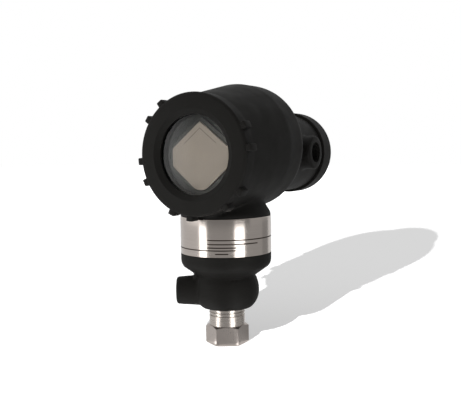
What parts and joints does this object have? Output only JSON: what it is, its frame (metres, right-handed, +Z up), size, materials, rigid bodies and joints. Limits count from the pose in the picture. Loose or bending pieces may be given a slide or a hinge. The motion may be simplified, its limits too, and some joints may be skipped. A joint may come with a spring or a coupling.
{
  "type": "pressure transmitter",
  "caption": "Field pressure transmitter: round windowed cover with blank display, dark twin-compartment housing, grooved steel collar and hexagon process stem.",
  "frame": {"origin": "centre of the hexagon's flat bottom face, on the process connection's axis", "axes": "+Z up along the process stem; the display cover faces -Y and the terminal cover +Y; +X is to the right seen from the display"},
  "size_m": [0.108, 0.201, 0.2217],
  "materials": {
    "black_coating": "satin",
    "black_steel": "satin",
    "stainless": "satin",
    "screws": "satin",
    "glass": "gloss",
    "display_face": "satin",
    "display_case": "matte",
    "board": "satin",
    "module": "matte",
    "terminal_plastic": "matte",
    "connector_plastic": "satin",
    "seal": "matte",
    "header": "satin",
    "pins": "polished"
  },
  "bodies": {
    "base": {"process_stem": "stainless", "sensor_body": "black_steel", "sensor_collar": "stainless", "sensor_neck": "stainless", "neck_seal": "seal", "isolating_diaphragm": "stainless", "sensor_cell": "stainless", "oil_fill_tube": "stainless", "feedthrough_header": "header", "header_pins": "pins", "sensor_board": "board", "sensor_connector": "connector_plastic"},
    "vent_plug": {"vent_plug": "stainless"},
    "housing": {"housing": "black_coating", "front_cover_lock_screw": "screws", "rear_cover_lock_screw": "screws", "rotation_lock_screw": "screws", "earth_washer": "screws", "earth_screw": "screws", "entry_plug": "black_coating", "display_mount": "module", "electronics_module": "module", "electronics_screws": "screws", "terminal_block": "terminal_plastic", "terminal_screws": "screws", "terminal_fixing_screws": "screws"},
    "display": {"display_plate": "display_face", "display_case": "display_case", "display_board": "board", "display_back": "display_case"},
    "front_cover_travel": {"front_cover_seal": "seal"},
    "front_cover": {"front_cover": "black_coating", "window_gasket": "seal", "window_glass": "glass", "window_retainer": "screws"},
    "rear_cover_travel": {"rear_cover_seal": "seal"},
    "rear_cover": {"rear_cover": "black_coating"}
  },
  "joints": [
    {"name": "housing_turn", "type": "hinge", "parent": "base", "child": "housing", "pos_m": [0, 0, 0.1103], "axis": [0, 0, 1], "range_deg": [-180, 180]},
    {"name": "vent_plug_turn", "type": "hinge", "parent": "base", "child": "vent_plug", "pos_m": [-0.03724, -0.0215, 0.0455], "axis": [-0.866, -0.5, 0], "range_deg": [0, 360]},
    {"name": "display_turn", "type": "hinge", "parent": "housing", "child": "display", "pos_m": [0, -0.0158, 0.1617], "axis": [0, 1, 0], "range_deg": [-180, 180]},
    {"name": "front_cover_travel", "type": "slide", "parent": "housing", "child": "front_cover_travel", "axis": [0, -1, 0], "range_m": [0, 0.012]},
    {"name": "front_cover_turn", "type": "hinge", "parent": "front_cover_travel", "child": "front_cover", "pos_m": [0, -0.0518, 0.1617], "axis": [0, -1, 0], "range_deg": [0, 2160]},
    {"name": "rear_cover_travel", "type": "slide", "parent": "housing", "child": "rear_cover_travel", "axis": [0, 1, 0], "range_m": [0, 0.012]},
    {"name": "rear_cover_turn", "type": "hinge", "parent": "rear_cover_travel", "child": "rear_cover", "pos_m": [0, 0.1492, 0.1617], "axis": [0, 1, 0], "range_deg": [0, 2160]}
  ],
  "couplings": [
    {"joint": "front_cover_travel", "follows": "front_cover_turn", "m_per_rad": 0.00031831},
    {"joint": "rear_cover_travel", "follows": "rear_cover_turn", "m_per_rad": 0.00031831}
  ]
}
